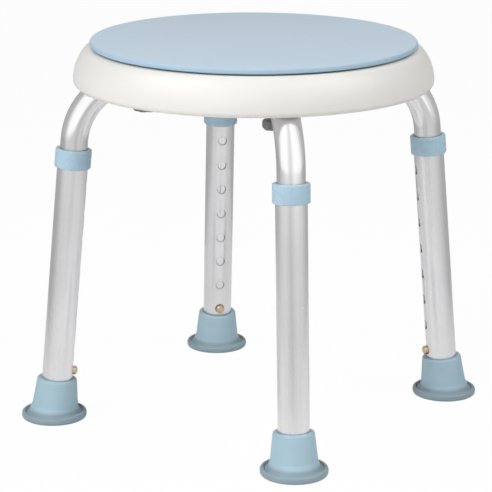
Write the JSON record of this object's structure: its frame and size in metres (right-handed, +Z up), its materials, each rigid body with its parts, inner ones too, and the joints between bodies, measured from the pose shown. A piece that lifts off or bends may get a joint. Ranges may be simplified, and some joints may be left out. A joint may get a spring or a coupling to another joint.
{
  "type": "shower stool",
  "caption": "Round shower stool: a swivelling top plate on a hollow moulded seat, with splayed telescopic tube legs set by spring buttons and wide rubber feet.",
  "frame": {"origin": "on the floor, in the middle of the footprint, under the swivel axis", "axes": "+Z up along the swivel axis; the legs stand on the diagonals of X and Y, the front leg at +X -Y"},
  "size_m": [0.3286, 0.3286, 0.35],
  "materials": {
    "seat_white": "smooth moulded, satin",
    "plate_blue": "fine textured, matt",
    "collar_blue": "smooth moulded, satin",
    "foot_blue": "soft rubber, matt",
    "upper_tube_bright": "bright anodised",
    "lower_tube_satin": "satin anodised",
    "knob_grey": "moulded, satin",
    "saddle_grey": "moulded, satin",
    "plug_grey": "moulded, satin",
    "button_brass": "dull passivated",
    "clip_steel": "spring steel",
    "fastener_steel": "zinc plated",
    "nut_brass": "turned",
    "glide_white": "slippery, smooth",
    "bush_white": "slippery, smooth"
  },
  "bodies": {
    "seat_frame": {"seat_shell": "seat_white", "seat_nuts": "nut_brass", "glide_ring": "glide_white", "pivot_bush": "bush_white", "upper_tube_front": "upper_tube_bright", "upper_tube_right": "upper_tube_bright", "upper_tube_back": "upper_tube_bright", "upper_tube_left": "upper_tube_bright", "tube_plug_front": "plug_grey", "tube_plug_right": "plug_grey", "tube_plug_back": "plug_grey", "tube_plug_left": "plug_grey", "snap_clip_front": "clip_steel", "snap_clip_right": "clip_steel", "snap_clip_back": "clip_steel", "snap_clip_left": "clip_steel"},
    "top_plate": {"swivel_plate": "plate_blue", "plate_insert": "nut_brass", "pivot_screw": "fastener_steel", "pivot_washer": "fastener_steel"},
    "leg_front": {"lower_tube_front": "lower_tube_satin", "collar_front": "collar_blue", "foot_front": "foot_blue", "foot_washer_front": "fastener_steel"},
    "button_front": {"snap_button_front": "button_brass"},
    "saddle_front": {"saddle_washer_front": "saddle_grey"},
    "knob_front": {"hand_knob_front": "knob_grey", "knob_stud_front": "fastener_steel"},
    "leg_right": {"lower_tube_right": "lower_tube_satin", "collar_right": "collar_blue", "foot_right": "foot_blue", "foot_washer_right": "fastener_steel"},
    "button_right": {"snap_button_right": "button_brass"},
    "saddle_right": {"saddle_washer_right": "saddle_grey"},
    "knob_right": {"hand_knob_right": "knob_grey", "knob_stud_right": "fastener_steel"},
    "leg_back": {"lower_tube_back": "lower_tube_satin", "collar_back": "collar_blue", "foot_back": "foot_blue", "foot_washer_back": "fastener_steel"},
    "button_back": {"snap_button_back": "button_brass"},
    "saddle_back": {"saddle_washer_back": "saddle_grey"},
    "knob_back": {"hand_knob_back": "knob_grey", "knob_stud_back": "fastener_steel"},
    "leg_left": {"lower_tube_left": "lower_tube_satin", "collar_left": "collar_blue", "foot_left": "foot_blue", "foot_washer_left": "fastener_steel"},
    "button_left": {"snap_button_left": "button_brass"},
    "saddle_left": {"saddle_washer_left": "saddle_grey"},
    "knob_left": {"hand_knob_left": "knob_grey", "knob_stud_left": "fastener_steel"}
  },
  "joints": [
    {"name": "seat_swivel", "type": "hinge", "parent": "seat_frame", "child": "top_plate", "pos_m": [0, 0, 0.345], "axis": [0, 0, 1], "continuous": true},
    {"name": "leg_slide_front", "type": "slide", "parent": "seat_frame", "child": "leg_front", "axis": [0.0616, -0.0616, -0.9962], "range_m": [0, 0.1778], "deforming": ["snap_button_front"]},
    {"name": "button_press_front", "type": "slide", "parent": "seat_frame", "child": "button_front", "axis": [0.7044, -0.7044, 0.0872], "range_m": [0, 0.0055], "stiffness_N_per_m": 1500, "deforming": ["snap_clip_front"]},
    {"name": "knob_travel_front", "type": "slide", "parent": "seat_frame", "child": "saddle_front", "axis": [0, 0, -1], "range_m": [0, 0.00875]},
    {"name": "knob_turn_front", "type": "hinge", "parent": "saddle_front", "child": "knob_front", "pos_m": [0.07016, -0.07016, 0.3], "axis": [0, 0, -1], "range_deg": [0, 2520]},
    {"name": "leg_slide_right", "type": "slide", "parent": "seat_frame", "child": "leg_right", "axis": [0.0616, 0.0616, -0.9962], "range_m": [0, 0.1778], "deforming": ["snap_button_right"]},
    {"name": "button_press_right", "type": "slide", "parent": "seat_frame", "child": "button_right", "axis": [0.7044, 0.7044, 0.0872], "range_m": [0, 0.0055], "stiffness_N_per_m": 1500, "deforming": ["snap_clip_right"]},
    {"name": "knob_travel_right", "type": "slide", "parent": "seat_frame", "child": "saddle_right", "axis": [0, 0, -1], "range_m": [0, 0.00875]},
    {"name": "knob_turn_right", "type": "hinge", "parent": "saddle_right", "child": "knob_right", "pos_m": [0.07016, 0.07016, 0.3], "axis": [0, 0, -1], "range_deg": [0, 2520]},
    {"name": "leg_slide_back", "type": "slide", "parent": "seat_frame", "child": "leg_back", "axis": [-0.0616, 0.0616, -0.9962], "range_m": [0, 0.1778], "deforming": ["snap_button_back"]},
    {"name": "button_press_back", "type": "slide", "parent": "seat_frame", "child": "button_back", "axis": [-0.7044, 0.7044, 0.0872], "range_m": [0, 0.0055], "stiffness_N_per_m": 1500, "deforming": ["snap_clip_back"]},
    {"name": "knob_travel_back", "type": "slide", "parent": "seat_frame", "child": "saddle_back", "axis": [0, 0, -1], "range_m": [0, 0.00875]},
    {"name": "knob_turn_back", "type": "hinge", "parent": "saddle_back", "child": "knob_back", "pos_m": [-0.07016, 0.07016, 0.3], "axis": [0, 0, -1], "range_deg": [0, 2520]},
    {"name": "leg_slide_left", "type": "slide", "parent": "seat_frame", "child": "leg_left", "axis": [-0.0616, -0.0616, -0.9962], "range_m": [0, 0.1778], "deforming": ["snap_button_left"]},
    {"name": "button_press_left", "type": "slide", "parent": "seat_frame", "child": "button_left", "axis": [-0.7044, -0.7044, 0.0872], "range_m": [0, 0.0055], "stiffness_N_per_m": 1500, "deforming": ["snap_clip_left"]},
    {"name": "knob_travel_left", "type": "slide", "parent": "seat_frame", "child": "saddle_left", "axis": [0, 0, -1], "range_m": [0, 0.00875]},
    {"name": "knob_turn_left", "type": "hinge", "parent": "saddle_left", "child": "knob_left", "pos_m": [-0.07016, -0.07016, 0.3], "axis": [0, 0, -1], "range_deg": [0, 2520]}
  ],
  "couplings": [
    {"joint": "knob_turn_front", "follows": "knob_travel_front", "rad_per_m": 5026.5},
    {"joint": "knob_turn_right", "follows": "knob_travel_right", "rad_per_m": 5026.5},
    {"joint": "knob_turn_back", "follows": "knob_travel_back", "rad_per_m": 5026.5},
    {"joint": "knob_turn_left", "follows": "knob_travel_left", "rad_per_m": 5026.5}
  ]
}
